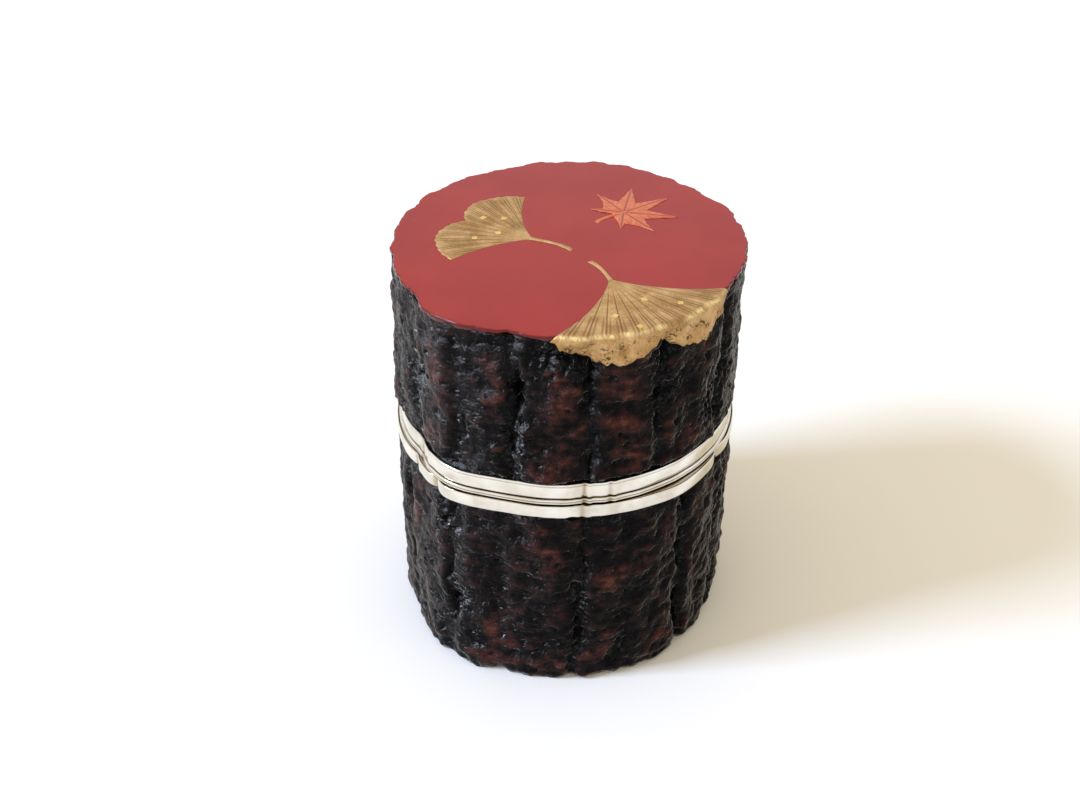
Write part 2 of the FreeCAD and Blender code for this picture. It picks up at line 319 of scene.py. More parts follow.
# What the log's own outline lacks: swelling, lumps, ridges round the trunk, small holes and cracks.
# Gives the relief in mm, how hollow the place is and how far its lumps stand up
def barkRelief(angle, height, furrow):
    x, y = logRadius * math.cos(angle), logRadius * math.sin(angle)
    slow = noisePoint("broad", x, y, height)
    broad = noise.noise(slow) + 0.5 * noise.noise(slow * 2.2 + Vector((5, 3, 1)))
    sweep = height + barkShape["sweep"] * noise.noise(slow * 1.7)
    lumps = noise.noise(noisePoint("lumps", x, y, sweep))
    lumps += 0.55 * noise.noise(noisePoint("smallLumps", x, y, sweep, 0, 3))
    crumbs = noise.noise(noisePoint("crumbs", x, y, height))
    crags = noise.noise(noisePoint("crags", x, y, height, 4)) + 0.6 * crumbs
    streak = 1 - 2.6 * abs(noise.noise(noisePoint("streaks", x, y, sweep, 8)))
    streak *= 0.7 + noise.noise(slow * 3)
    grain = noise.noise(noisePoint("grain", x, y, height))
    # parts of a furrow are closed, and pits are commoner in the rest of it
    closing = between(-0.15, 0.3, noise.noise(noisePoint("filling", x, y, height, 0, 9)))
    closed = barkShape["filling"] * furrow * closing
    furrow -= closed
    distances, points = noise.voronoi(noisePoint("pits", x, y, height))
    rare = 0.75 - 0.55 * min(1, furrow) - 0.3 * noise.noise(slow * 2 + Vector((2, 7, 4)))
    pitted = 0.5 + 0.5 * noise.cell(points[0] * 9.7) > rare
    pit = barkShape["pits"] * hump(distances[0] + 0.15 * crumbs, 0.30) if pitted else 0
    hole = holesAt(angle, height, crumbs)
    broad -= hole / barkShape["broad"]
    wander = barkShape["wander"] * noise.noise(noisePoint("wander", x, y, height))
    wander += barkShape["tremble"] * noise.noise(noisePoint("tremble", x, y, height))
    crack = cracksAt(angle, height, wander)
    hollow = furrow + pit + hole + crack
    ragged = min(1, hollow)
    relief = barkShape["broad"] * broad + barkShape["lumps"] * lumps + barkShape["streaks"] * (streak - 0.3)
    relief += closed + barkShape["crags"] * crags + barkShape["hollowCrumbs"] * ragged * crumbs
    relief += (barkShape["grain"] + barkShape["hollowGrain"] * ragged) * grain
    return relief - pit - crack, hollow, 0.8 * lumps + 0.4 * broad + 0.3 * streak + 0.4 * crags


def redness(angle, height):
    total = 0.0
    for direction, middle, halfTurn, halfHeight in redPlates:
        across = angleGap(angle, direction) / math.radians(halfTurn)
        up = (height - middle) / halfHeight
        if abs(across) < 2.5 and abs(up) < 2.5:
            total += math.exp(-across * across - up * up)
    return min(1, total)


# The log's own outline at a few levels of a bark node, blended in between
def barkLevels(node, low, high, count, spread):
    margin = barkShape["levelMargin"]
    shares = [margin + (1 - 2 * margin) * level / count for level in range(count + 1)]
    heights = [low + (high - low) * share for share in shares]
    outlines = [cadOutline(node, height, spread) for height in heights]

    def radius(angle, height):
        place = min(count - 0.001, max(0, (height - heights[0]) / (heights[1] - heights[0])))
        level = int(place)
        share = place - level
        return outlines[level](angle) * (1 - share) + outlines[level + 1](angle) * share
    return radius


# The wall, its ends and the bore make one closed shell; a seat under the silver stays plain
def makeBark(name, node, rows, levels, wallLow, wallHigh, isLid):
    bottom, top = (corner.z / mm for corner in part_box(node))
    bore, evenSeat, leastSeat = barkShape["boreRadius"], barkShape["seatEvenOut"], barkShape["leastSeat"]
    ownOutline = barkLevels(node, wallLow, wallHigh, levels, 1)
    evenOutline = barkLevels(node, wallLow, wallHigh, levels, barkShape["evenOut"])
    seats = {}
    if bottom < wallLow - leastSeat:
        seats["seatLow"] = cadOutline(node, (bottom + wallLow) / 2, evenSeat)
    if top > wallHigh + leastSeat:
        seats["seatTop"] = cadOutline(node, (wallHigh + top) / 2, evenSeat)
    # heights of the rows, from the lower bore round to the upper bore and back
    plan = [("bore", bottom)]
    plan += [("seatLow", bottom), ("seatLow", wallLow)] if "seatLow" in seats else []
    plan += [("wall", wallLow + (wallHigh - wallLow) * k / rows) for k in range(rows + 1)]
    plan += [("end", wallHigh)]
    plan += [("seatTop", wallHigh), ("seatTop", top)] if "seatTop" in seats else []
    plan += [("bore", top), ("bore", bottom)]

    def nearLow(shape, height):   # 1 at the wall's lower end
        return 1 - between(wallLow, wallLow + barkShape[shape][1], height)

    def wallRadius(angle, height):
        own = ownOutline(angle, height)
        furrow = max(0, evenOutline(angle, height) - own - barkShape["noFurrow"])
        relief, hollow, bumpy = barkRelief(angle, height, furrow)
        if isLid:
            relief += barkShape["lidSwell"][0] * nearLow("lidSwell", height)
            relief -= barkShape["lidRollIn"][0] * nearLow("lidRollIn", height) ** 2
            flattened, depth = barkShape["topSawn"]
            relief *= 1 - flattened * between(wallHigh - depth, wallHigh, height)
        else:
            relief -= barkShape["footRound"][0] * nearLow("footRound", height) ** 2
        return max(own + relief, bore + barkShape["leastWall"]), hollow, bumpy

    def placePoint(across, row):
        angle = fullTurn * across
        part, height = plan[row]
        if part == "wall":
            radius, hollow, bumpy = wallRadius(angle, height)
            return onCircle(angle, radius, height), (hollow, bumpy, redness(angle, height))
        radius = bore
        if part == "end":
            edge = wallRadius(angle, height)[0] - barkShape["endStep"]
            radius = max(edge, bore + barkShape["leastWall"] / 2)
        elif part in seats:
            radius = max(bore + leastSeat, seats[part](angle) - seatGap)
        return onCircle(angle, radius, height), plainMarks

    return addGrid(name, barkShape["columns"] // coarse, len(plan) - 1, placePoint, barkMarks), wallRadius


print("bark")
bodyBark = makeBark("bodyBark", "body_bark", barkShape["bodyRows"] // coarse, barkShape["bodyLevels"],
                    0.0, bodyWallTop, False)[0]
lidBark, lidWall = makeBark("lidBark", "lid_bark", barkShape["lidRows"] // coarse, barkShape["lidLevels"],
                            lidWallBottom, barkTop, True)


# Lacquered bark: wet-looking black film in the hollows, darkened further there by painted shade, worn
# red-brown on the high flakes
def lacqueredBark():
    material, tree, place = newMaterial("lacqueredBark")
    hollow, bumpy, red = (addNode(tree, "Attribute", {"attribute_name": mark}) for mark in barkMarks)
    patches = addNode(tree, "TexNoise", {"size": 3.6, "Detail": 6.0, "Roughness": 0.72}, {"Vector": place})
    flecks = addNode(tree, "TexNoise", {"size": 0.6, "Detail": 3.0, "Roughness": 0.55}, {"Vector": place})
    squeeze = addNode(tree, "Mapping", {"Scale": (0.22, 0.22, 1.4)}, {"Vector": place})
    streaks = addNode(tree, "TexNoise", {"size": 1.2, "Detail": 4.0, "Roughness": 0.6}, {"Vector": squeeze})
    # red where a plate is reddish and its ridges stand up
    mottled = addNode(tree, "Math", {"operation": "MULTIPLY_ADD", 1: 0.20}, {0: bumpy, 2: patches})
    streaked = addNode(tree, "Math", {"operation": "MULTIPLY_ADD", 1: 0.34}, {0: streaks, 2: mottled})
    plate = addNode(tree, "Math", {"operation": "MULTIPLY_ADD", 1: 0.16}, {0: red, 2: streaked})
    # darker in the hollows: pooled black lacquer, and painted shade in the furrows, pits and cracks
    sunk = addNode(tree, "Math", {"operation": "MULTIPLY_ADD", 1: -0.5}, {0: hollow, 2: plate})
    level = addNode(tree, "MapRange", {"range": (0.47, 1.03)}, {"Value": sunk})
    colour = addNode(tree, "ValToRGB", {"stops": [
        (0.0, "#020101"), (0.3, "#060405"), (0.46, "#100a0a"),
        (0.62, "#241514"), (0.80, "#381d19"), (1.0, "#54312a"),
    ]}, {"Fac": level})
    gloss = addNode(tree, "MapRange", {"range": (0.1, 0.8, 0.26, 0.46)}, {"Value": level})
    # lacquer pooled in the hollows; no light gets into the deep cracks
    sunkEnough = addNode(tree, "MapRange", {"range": (0.08, 0.5)}, {"Value": hollow})
    beads = addNode(tree, "MapRange", {"range": (0.53, 0.59, 0.0, 0.36)}, {"Value": flecks})
    wet = addNode(tree, "Math", {"operation": "MULTIPLY_ADD", 2: 0.045}, {0: sunkEnough, 1: beads})
    notDeep = addNode(tree, "MapRange", {"range": (0.55, 1.0, 1.0, 0.05)}, {"Value": hollow})
    pooled = addNode(tree, "Math", {"operation": "MULTIPLY"}, {0: wet, 1: notDeep})
    lines = addNode(tree, "Bump", {"Strength": 0.3, "Distance": 0.3 * mm}, {"Height": streaks})
    crumbs = addNode(tree, "Bump", {"Strength": 0.9, "Distance": 0.35 * mm},
                     {"Height": flecks, "Normal": lines})
    drops = addNode(tree, "Bump", {"Strength": 1.0, "Distance": 0.45 * mm}, {"Height": flecks})
    return finishMaterial(material, {
        "Specular IOR Level": 0.024,
        "Sheen Weight": 0.70,   # bright at grazing angles, as the real film is
        "Sheen Roughness": 0.17,
        "Coat Roughness": 0.05,
    }, {
        "Base Color": colour, "Roughness": gloss, "Normal": crumbs,
        "Coat Weight": pooled, "Coat Normal": drops,
    })


barkFinish = lacqueredBark()
fitPiece(bodyBark, barkFinish, "caddy_body", "body_bark")
fitPiece(lidBark, barkFinish, "lid", "lid_bark")


# Silver rims

rimShape = {
    "columns": 720,
    "evenOut": 5,   # half degrees, smoothing of the CAD outline
    "lidReadAt": 1.6,   # mm up from the joint, where the lid band's outline is read
    "bodyReadAt": -2.4,   # mm, the same for the body's
    "ripple": 0.07,   # mm, unevenness of hand-bent strip
    "sway": 0.12,   # mm, rise and fall of its outer edges
    "swayFrom": 0.9,   # mm from the joint, nearer to it the strip lies level
    "creaseTarnishAndShade": 2.2,   # tarnish and painted shade for each mm of depth of a crease
    "collarGap": 0.05,   # mm, from the mouth ring to the collar
}
# Folds of the strips: direction, how far out in mm, half width in mm
lidFolds = [
    (276.0, 0.34, 1.3), (275.6, -0.34, 0.35), (277.4, 0.22, 0.4), (284.0, -0.22, 0.4), (285.5, 0.16, 0.6),
    (216.0, -0.22, 0.6), (221.5, 0.18, 0.9), (84.0, -0.20, 0.6), (140.0, -0.2, 0.6), (18.0, -0.2, 0.6),
]
bodyFolds = [
    (275.5, 0.55, 1.5), (274.9, -0.24, 0.45), (276.9, 0.22, 0.6), (226.0, 0.34, 2.4), (225.4, -0.26, 0.6),
    (228.6, 0.10, 1.2), (213.0, 0.30, 1.4), (212.6, -0.28, 0.5), (215.6, 0.20, 0.9), (309.0, 0.75, 8.0),
    (331.5, -0.2, 0.9), (84.6, -0.25, 0.6), (138.0, -0.25, 0.6), (18.5, -0.25, 0.6), (52.0, -0.2, 0.8),
]
lidOutline = cadOutline("lid_rim_band", jointHeight + rimShape["lidReadAt"], rimShape["evenOut"])
bodyOutline = cadOutline("body_rim_band", jointHeight + rimShape["bodyReadAt"], rimShape["evenOut"])

# Rows of the rims' sections: mm out from an outline, mm up from the joint, tarnish (also painted shade in
# the grooves and a painted dark-gold reflection on the ledge)
lidBandRows = [
    (-0.55, 0.22, 0.6), (-0.20, 0.20, 0.6), (-0.06, 0.26, 0.3), (0.01, 0.44, 0), (0.06, 1.10, 0),
    (0.06, 2.10, 0), (0.03, 2.74, 0), (-0.08, 2.86, 0.5), (-0.06, 2.93, 0.4), (0.07, 3.02, 0),
    (0.11, 3.16, 0), (0.08, 3.30, 0), (0.00, 3.40, 0), (-0.20, 3.43, 0.2), (-0.45, 3.38, 0.5),
    (-0.58, 3.20, 0.5), (-0.60, 1.80, 0.5),
]
# the ledge and the groove under the bead take the tarnish colour as a painted dark-gold reflection and
# painted shade
ledgeRows = [(-0.10, -1.60, 0.7), (0.10, -1.34, 0.5), (0.30, -1.26, 0.4)]
bodyBandRows = [
    (-0.46, -1.34, 0.4), (-0.34, -1.24, 0.3), (-0.22, -1.10, 0.1), (-0.10, -1.06, 0),
    (0.00, -1.20, 0), (0.05, -2.10, 0), (0.05, -3.00, 0), (0.02, -3.44, 0), (-0.06, -3.66, 0.1),
    (-0.20, -3.76, 0.4), (-0.45, -3.76, 0.6), (-0.60, -3.55, 0.6), (-0.60, -2.40, 0.6),
    (-0.60, -1.50, 0.6),
]
beadRows = [
    (0.00, 0.00, 0), (0.00, 0.00, 0), (0.14, -0.03, 0), (0.24, -0.12, 0), (0.28, -0.26, 0),
    (0.25, -0.40, 0.3), (0.17, -0.48, 0.8), (0.18, -0.54, 0.7), (0.28, -0.62, 0.2), (0.32, -0.76, 0),
    (0.28, -0.90, 0.3), (0.16, -1.00, 0.8), (0.00, -1.20, 1), (-0.40, -1.60, 1), (0.00, -1.60, 1),
]


# The section follows the lid's outline, then the body's; with an inner radius its ends lie there instead
def makeRim(name, lidRows, bodyRows=(), innerRadius=None):
    section = [(0, *row) for row in lidRows] + [(1, *row) for row in bodyRows]
    rows = len(section)

    def placePoint(across, row):
        angle = fullTurn * across
        onBody, out, up, tarnish = section[row % rows]
        radius = (bodyOutline if onBody else lidOutline)(angle) + out
        radius += rimShape["ripple"] * aroundNoise(angle, 9, up * 0.3)
        for direction, depth, width in (bodyFolds if onBody else lidFolds):
            fold = depth * hump(angleGap(angle, direction) * logRadius, width)
            radius += fold
            # a crease is painted darker: tarnish and painted shade
            tarnish += rimShape["creaseTarnishAndShade"] * max(0, -fold)
        sways = abs(up) > rimShape["swayFrom"]
        sway = rimShape["sway"] * aroundNoise(angle, 5, 7.7 + onBody) if sways else 0
        if innerRadius and row in (0, rows - 1, rows):
            radius = innerRadius
        return onCircle(angle, radius, jointHeight + up + sway), (min(1, tarnish),)

    piece = addGrid(name, rimShape["columns"] // coarse, rows, placePoint, ("tarnish",))
    applyModifier(piece, "smooth", "SUBSURF", {"levels": 1, "render_levels": 1})
    return piece


print("silver rims")
lidBand = makeRim("lidBand", lidBandRows)
bodyBand = makeRim("bodyBand", ledgeRows, bodyBandRows)
mouthRing = makeRim("mouthRing", beadRows, innerRadius=collarRadius + rimShape["collarGap"])


# Polished silver: bright, faintly warm, with soft hand-burnished unevenness and tarnish in the creases; the
# tarnish colour also paints shade into the creases and grooves and a dark-gold reflection onto the ledge
def burnishedSilver():
    material, tree, place = newMaterial("burnishedSilver")
    tarnish = addNode(tree, "Attribute", {"attribute_name": "tarnish"})
    clouds = addNode(tree, "TexNoise", {"size": 5, "Detail": 4.0}, {"Vector": place})
    flat = addNode(tree, "Mapping", {"Scale": (0.25, 0.25, 3.0)}, {"Vector": place})
    strokes = addNode(tree, "TexNoise", {"size": 0.8, "Detail": 3.0}, {"Vector": flat})
    tone = addNode(tree, "ValToRGB", {"stops": [(0.3, "#cfc8b9"), (0.5, "#e4dfd4"), (0.7, "#f1eee8")]},
                   {"Fac": clouds})
    # tarnish colour, also painted shade in the creases and a painted reflection along the ledge
    tarnishedAndShaded = addNode(tree, "Mix", {"data_type": "RGBA", "B": "#94794a"}, {"Factor": tarnish, "A": tone})
    rough = addNode(tree, "MapRange", {"range": (0.3, 0.75, 0.08, 0.22)}, {"Value": strokes})
    dents = addNode(tree, "Bump", {"Strength": 0.35, "Distance": 0.2 * mm}, {"Height": clouds})
    rub = addNode(tree, "Bump", {"Strength": 0.12, "Distance": 0.02 * mm},
                  {"Height": strokes, "Normal": dents})
    return finishMaterial(material, {"Metallic": 1.0},
                          {"Base Color": tarnishedAndShaded, "Roughness": rough, "Normal": rub})


silverFinish = burnishedSilver()
fitPiece(lidBand, silverFinish, "lid", "lid_rim_band")
fitPiece(bodyBand, silverFinish, "caddy_body", "body_rim_band")
fitPiece(mouthRing, silverFinish, "caddy_body", "body_mouth_ring")
dress(nodes["lid_mouth_ring"], silverFinish)


# Red lacquered top

topShape = {
    "columns": 640,
    "flatRows": 36,
    "curveRows": 4,
    "readAt": 0.5,   # mm down from the flat, where the CAD cap's outline is read
    "evenOut": 7,   # half degrees, smoothing of that outline
    "overhang": 0.30,   # mm, out from the CAD cap to the bark's face
    "ragged": ((0.85, 8, 2.0), (0.28, 26, 5.0), (0.10, 60, 1.0)),   # waves of the edge: mm, fineness, seed
    "edgeRound": 0.30,   # mm, radius of the lacquered edge
    "edgeDrop": 0.55,   # mm, how far lacquer runs down over the bark
    "drips": 0.80,   # mm, unevenness of that lower edge
    "swell": 0.04,   # mm, unevenness of the flat
    "swellScale": 0.09,   # cells of it to a mm
    "lip": (1.4, 0.1),   # mm in and down from the drips, out of sight
    "underside": 0.75,   # mm down from the flat
    "undersideEdge": 6.0,   # mm in from the edge
}
topOutline = cadOutline("lid_top_board", topHeight - topShape["readAt"], topShape["evenOut"])


def topEdge(angle):
    ragged = sum(size * aroundNoise(angle, fineness, seed) for size, fineness, seed in topShape["ragged"])
    return topOutline(angle) + topShape["overhang"] + ragged


def topSwell(angle, radius):
    across = radius * topShape["swellScale"]
    return topShape["swell"] * noise.noise(Vector((across * math.cos(angle), across * math.sin(angle), 3)))


# Rows go out over the flat, round the edge, down the drips and back in underneath
def placeTop(across, row):
    angle = fullTurn * across
    edge, curve = topEdge(angle), topShape["edgeRound"]
    flatRows, curveRows = topShape["flatRows"], topShape["curveRows"]
    drop = topShape["edgeDrop"] + max(0, topShape["drips"] * (aroundNoise(angle, 13, 8.0) + 0.3))
    if row <= flatRows:
        radius = (edge - curve) * math.sin(math.pi / 2 * row / flatRows)
        return onCircle(angle, radius, topHeight + topSwell(angle, radius)), (0,)
    past = row - flatRows
    if past <= curveRows:
        turn = math.pi / 2 * past / curveRows
        height = topHeight + topSwell(angle, edge - curve) - curve * (1 - math.cos(turn))
        return onCircle(angle, edge - curve * (1 - math.sin(turn)), height), (min(1, 0.9 * turn),)
    lipIn, lipDown = topShape["lip"]
    radius, down = (
        (edge, drop),
        (edge - lipIn, drop + lipDown),
        (edge - topShape["undersideEdge"], topShape["underside"]),
        (0, topShape["underside"]),
    )[past - curveRows - 1]
    return onCircle(angle, radius, topHeight - down), (1,)


print("lacquered top")
topRows = topShape["flatRows"] + topShape["curveRows"] + 4
lacquerTop = addGrid("lacquerTop", topShape["columns"] // coarse, topRows, placeTop, ("edge",))


# Red lacquer: deep red under a clear gloss, thin and brown at the edge, with faint dust and pale specks
def redLacquer():
    material, tree, place = newMaterial("redLacquer")
    edge = addNode(tree, "Attribute", {"attribute_name": "edge"})
    clouds = addNode(tree, "TexNoise", {"size": 14, "Detail": 3.0}, {"Vector": place})
    dust = addNode(tree, "TexNoise", {"size": 0.7, "Detail": 2.0}, {"Vector": place})
    tone = addNode(tree, "ValToRGB", {"stops": [(0.3, "#901815"), (0.7, "#9c201a")]}, {"Fac": clouds})
    worn = addNode(tree, "Mix", {"data_type": "RGBA", "B": "#54120e"}, {"Factor": edge, "A": tone})
    # specks about half a mm across, one to a cell of 11 mm
    cells = addNode(tree, "TexVoronoi", {"size": 11}, {"Vector": place})
    speck = addNode(tree, "MapRange", {"range": (0.016, 0.034, 0.75, 0.0)}, {"Value": cells})
    specked = addNode(tree, "Mix", {"data_type": "RGBA", "B": "#e3c0b6"}, {"Factor": speck, "A": worn})
    rough = addNode(tree, "MapRange", {"range": (0.4, 0.8, 0.16, 0.26)}, {"Value": dust})
    ripple = addNode(tree, "Bump", {"Strength": 0.05, "Distance": 0.4 * mm}, {"Height": clouds})
    gloss = {"Specular IOR Level": 0.25, "Coat Weight": 0.12, "Coat Roughness": 0.06}
    return finishMaterial(material, gloss, {"Base Color": specked, "Roughness": rough, "Normal": ripple})


fitPiece(lacquerTop, redLacquer(), "lid", "lid_top_board")


# Raised leaves on the top

# Where the stem joins, mm in from the mean edge and its bearing; the leaf's direction; mm of its parts
frontLeaf = {"fromEdge": 17.5, "bearing": 297.4, "direction": 298, "length": 24, "stem": 7.0, "bend": 0.9}
leftLeaf = {"fromEdge": 26.2, "bearing": 175.6, "direction": 152, "length": 18, "stem": 8.0, "bend": -1.1}
mapleLeaf = {
    "fromEdge": 17.5, "bearing": 46.3, "direction": 35, "stem": 6.5, "bend": 0.8,
    "lobes": 7,
    "lobeStep": 44.0,   # degrees between lobes
    "reach": 11.0,   # mm, the middle lobe
    "shortening": 0.045,   # of the lobes to its sides
    "waist": 4.6,   # mm, the notches between lobes
    "shoulder": 0.66,   # share of a lobe's reach
    "shoulderTurn": 8.0,   # degrees to each side of a lobe
    "ribStep": 1.5,   # mm between side veins
    "stepsToCorner": 10,
    "rows": 30,
}
leafShape = {
    "spread": 56.0,   # degrees to each side of a fan
    "relief": 0.25,   # mm, height of the raised lacquer
    "sunk": 0.03,   # mm, how far it sits in the top
    "thickness": 0.3,   # mm, down from its face
    "overBark": 0.05,   # mm, clear of the bark's wall
    "stemWidth": 0.9,   # mm
    "stemColumns": 8,
    "stemRows": 24,
    "veinStep": 9.0,   # degrees between veins of a fan
    "veinDepth": 0.07,   # mm
    "columns": 168,
    "rows": 56,
}
leafMarks = ("vein", "rubbed", "worn")


def leafPoint(leaf, distance, turn):   # on the plan of the top, mm
    place = logRadius - leaf["fromEdge"]
    bearing, angle = math.radians(leaf["bearing"]), math.radians(leaf["direction"] + turn)
    return (place * math.cos(bearing) + distance * math.cos(angle),
            place * math.sin(bearing) + distance * math.sin(angle))


# Lays a point of the plan on the top, over its rounded edge and down the bark
def layOn(x, y, lift):
    angle, radius = math.atan2(y, x), math.hypot(x, y)
    edge, curve = topEdge(angle), topShape["edgeRound"]
    past = radius - (edge - curve)
    height = topHeight + topSwell(angle, min(radius, edge - curve))
    if past <= 0:
        return onCircle(angle, radius, height + lift)
    if past <= curve * math.pi / 2:
        turn, outer = past / curve, curve + lift
        height += outer * math.cos(turn) - curve
        return onCircle(angle, edge - curve + outer * math.sin(turn), height)
    down = past - curve * math.pi / 2 + curve
    wall = lidWall(angle, topHeight - down)[0]
    easing = between(curve, 2.5, down)
    face = max(edge * (1 - easing) + wall * easing, wall)
    return onCircle(angle, face + leafShape["overBark"] + lift * (1 - 0.4 * easing), height - down)


# Height of a leaf's face: full inside, thin at its rim, lower in the veins
def leafLift(rim, vein):
    return leafShape["relief"] * math.sqrt(min(1, rim)) - leafShape["veinDepth"] * vein - leafShape["sunk"]


def makeStem(leaf, name):
    rows = leafShape["stemRows"]
    angle = math.radians(leaf["direction"])
    joinX, joinY = leafPoint(leaf, 0, 0)

    def placePoint(across, row):
        along = row / rows   # 0 at the free end, 1 in the leaf
        side = 2 * across - 1
        width = leafShape["stemWidth"] / 2 * (0.75 + 0.5 * (1 - along) ** 2 + 0.45 * along ** 6)
        bow = leaf["bend"] * math.sin(along * 2.2)
        back = leaf["stem"] * (1 - along) - 0.6 * along
        out = side * width + bow * (1 - along)
        x = joinX - back * math.cos(angle) - out * math.sin(angle)
        y = joinY - back * math.sin(angle) + out * math.cos(angle)
        roundness = math.sqrt(max(0, 1 - side * side)) * min(1, 8 * along + 0.1)
        return layOn(x, y, leafShape["relief"] * (0.15 + 0.95 * roundness) - 0.05), (0, 0, 0)

    return addGrid(name, leafShape["stemColumns"], rows, placePoint, leafMarks)


def thicken(piece, stem):   # closes the undersides, then joins the stem on
    for part in (piece, stem):
        applyModifier(part, "body", "SOLIDIFY", {"thickness": leafShape["thickness"] * mm, "offset": -1})
    pickOnly(piece)
    stem.select_set(True)
    bpy.ops.object.join()
    return piece


def fanMargin(share):   # length of a fan's rays, in shares of its length
    side = abs(share)
    if side < 0.5:
        reach = 0.8 + 0.2 * math.sin(math.pi / 2 * min(1, side / 0.5)) ** 0.8
    else:
        reach = 1 - 0.07 * ((side - 0.5) / 0.5) ** 2
    return reach + 0.012 * noise.noise((share * 9, 2.2, 0)) + 0.006 * math.sin(share * 61)


def makeFan(name, leaf):
    rows, columns = leafShape["rows"] // coarse, leafShape["columns"] // coarse

    def placePoint(across, row):
        share = 2 * across - 1
        along = 0.03 + 0.97 * row / rows
        turn = share * leafShape["spread"] * (0.62 + 0.38 * along ** 0.8)
        x, y = leafPoint(leaf, along * fanMargin(share) * leaf["length"], turn)
        # veins fork half way, and are rubbed away where the leaf runs down the bark
        rays = turn / leafShape["veinStep"] + 0.04 * noise.noise((along * 3, share * 4, 1))
        vein = hump((rays % 1) - 0.5, 0.06) * between(0.1, 0.3, along) * (1 - 0.6 * between(0.85, 1, along))
        fork = hump((2 * rays % 1) - 0.5, 0.12) * between(0.5, 0.62, along) * (1 - between(0.9, 1, along))
        past = math.hypot(x, y) - topEdge(math.atan2(y, x))
        vein = max(vein, 0.7 * fork) * (1 - 0.85 * between(-0.5, 1.0, past))
        rim = min(14 * (1 - abs(share)) * along, 22 * (1 - along)) + 0.05
        lift = leafLift(rim, vein) + 0.04 * noise.noise((x * 0.3, y * 0.3, 6))
        # a bright line where the leaf turns over the edge, polished gold with a painted highlight; powder
        # lost in patches below it
        rubbed = hump(past - 0.05, 0.19) * between(-0.4, 0.2, noise.noise((x * 0.35, y * 0.35, 3)))
        worn = between(0.6, 1.6, past) * between(-0.2, 0.3, noise.noise((x * 0.5, y * 0.5, 8)))
        return layOn(x, y, lift), (vein, rubbed, worn)

    piece = addGrid(name, columns, rows, placePoint, leafMarks)
    return thicken(piece, makeStem(leaf, name + "Stem"))


def mapleCorners():   # distance in mm and turn in degrees
    corners = []
    for lobe in range(mapleLeaf["lobes"]):
        place = lobe - (mapleLeaf["lobes"] - 1) / 2
        turn, aside = place * mapleLeaf["lobeStep"], mapleLeaf["shoulderTurn"]
        reach = mapleLeaf["reach"] * (1 - mapleLeaf["shortening"] * place ** 2)
        shoulder = mapleLeaf["shoulder"] * reach
        isLast = lobe == mapleLeaf["lobes"] - 1
        notch = mapleLeaf["waist"] * (0.5 if isLast else 1)   # deeper at the stem
        corners += [(shoulder, turn - aside), (reach, turn), (shoulder, turn + aside)]
        corners += [(notch, turn + mapleLeaf["lobeStep"] / 2)]
    return corners


def makeMaple(name):
    corners = [leafPoint(mapleLeaf, *corner) for corner in mapleCorners()]
    count, rows, lobeStep = len(corners), mapleLeaf["rows"] // coarse, mapleLeaf["lobeStep"]
    middleX, middleY = leafPoint(mapleLeaf, 0, 0)

    def placePoint(across, row):
        spot = across * count
        share = spot - int(spot)
        near, far = corners[int(spot) % count], corners[(int(spot) + 1) % count]
        out = row / rows
        saw = 1 + 0.018 * math.sin(spot * 9) + 0.012 * noise.noise((spot * 2, 0, 4))
        offX = ((1 - share) * near[0] + share * far[0] - middleX) * out * saw
        offY = ((1 - share) * near[1] + share * far[1] - middleY) * out * saw
        distance = math.hypot(offX, offY)
        turn = math.degrees(math.atan2(offY, offX)) - mapleLeaf["direction"]
        offLobe = (turn / lobeStep + 0.5) % 1 - 0.5
        sideways = math.radians(abs(offLobe) * lobeStep) * distance
        # a vein along each lobe, and side veins that slant out from it
        vein = hump(sideways, 0.2) * (1 - between(0.85, 1, out))
        ribs = (distance - 1.3 * sideways) / mapleLeaf["ribStep"]
        vein = max(vein, 0.55 * hump((ribs % 1) - 0.5, 0.13) * between(0.3, 0.6, sideways))
        return layOn(middleX + offX, middleY + offY, leafLift(12 * (1 - out) + 0.05, vein)), (vein, 0, 0)

    piece = addGrid(name, count * mapleLeaf["stepsToCorner"] // coarse, rows, placePoint, leafMarks)
    return thicken(piece, makeStem(mapleLeaf, name + "Stem"))


print("leaves")
goldFront = makeFan("goldLeafFront", frontLeaf)
goldLeft = makeFan("goldLeafLeft", leftLeaf)
orangeMaple = makeMaple("orangeMaple")

# Cut foil: one square modelled, then copied to its places on the fans
foilShape = {
    "side": 1.0,   # mm
    "height": 0.14,   # mm
    "bevel": 0.05,   # mm
    "sunk": 0.02,   # mm, into the leaf's face
    "places": [(0.38, 0.2, 20), (0.52, -0.45, 65), (0.6, 0.5, 5), (0.68, -0.2, 48)],   # along, across, turn
}


def makeFoil(name):
    clearSelection()
    bpy.ops.mesh.primitive_cube_add(size=1)
    square = bpy.context.object
    bpy.ops.object.mode_set(mode="EDIT")
    bpy.ops.mesh.select_all(action="SELECT")
    side, height = foilShape["side"] * mm, foilShape["height"] * mm
    bpy.ops.transform.resize(value=(side, side, height))
    bpy.ops.mesh.bevel(offset=foilShape["bevel"] * mm, segments=2)
    bpy.ops.object.mode_set(mode="OBJECT")
    copies = []
    for leaf in (frontLeaf, leftLeaf):
        for along, across, turn in foilShape["places"]:
            copy = square.copy()
            copy.data = square.data.copy()
            bpy.context.collection.objects.link(copy)
            x, y = leafPoint(leaf, along * leaf["length"], across * leafShape["spread"])
            spot = layOn(x, y, leafShape["relief"] - foilShape["sunk"])
            copy.data.transform(Matrix.Translation(spot) @ Matrix.Rotation(math.radians(turn), 4, "Z"))
            copies.append(copy)
    bpy.data.objects.remove(square)
    pickOnly(copies[0])
    for copy in copies:
        copy.select_set(True)
    bpy.ops.object.join()
    copies[0].name = name
    return copies[0]


foilSquares = makeFoil("foilSquares")


